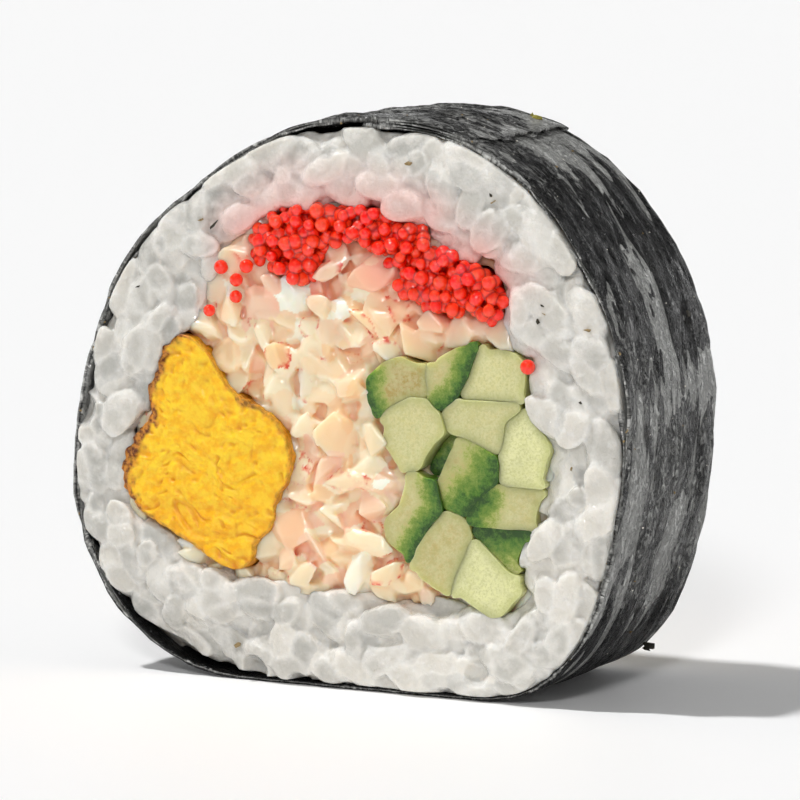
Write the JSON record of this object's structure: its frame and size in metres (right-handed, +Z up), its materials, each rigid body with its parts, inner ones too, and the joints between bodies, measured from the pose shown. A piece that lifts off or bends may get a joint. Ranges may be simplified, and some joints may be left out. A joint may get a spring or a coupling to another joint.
{
  "type": "sushi roll",
  "caption": "Slice of a thick sushi roll, standing on its rolled side: seaweed round rice, with omelette, crab meat, fish roe and cucumber batons showing at both cuts.",
  "frame": {"origin": "on the surface that the slice stands on, under the middle of the slice", "axes": "+Z up, Y along the roll's axis with the cut that the picture shows facing -Y, +X to the right of that cut"},
  "size_m": [0.0502, 0.0243, 0.0478],
  "materials": {
    "seaweed": "near-black toasted seaweed sheet, fine fibres, slight sheen",
    "rice": "cooked short-grain rice, translucent, moist",
    "omelette": "layered egg omelette, yellow with browned edges",
    "crab_meat": "shredded crab stick, moist peach flakes",
    "roe": "small red-orange fish roe, glossy and translucent",
    "cucumber": "moist pale flesh with dark green skin"
  },
  "bodies": {
    "root": {"seaweed": "seaweed", "rice": "rice", "omelette": "omelette", "crab_meat": "crab_meat", "roe": "roe", "cucumber_1": "cucumber", "cucumber_2": "cucumber", "cucumber_3": "cucumber", "cucumber_4": "cucumber", "cucumber_5": "cucumber", "cucumber_6": "cucumber", "cucumber_7": "cucumber", "cucumber_8": "cucumber", "cucumber_9": "cucumber", "cucumber_10": "cucumber", "cucumber_11": "cucumber", "cucumber_12": "cucumber", "cucumber_13": "cucumber"}
  },
  "joints": []
}
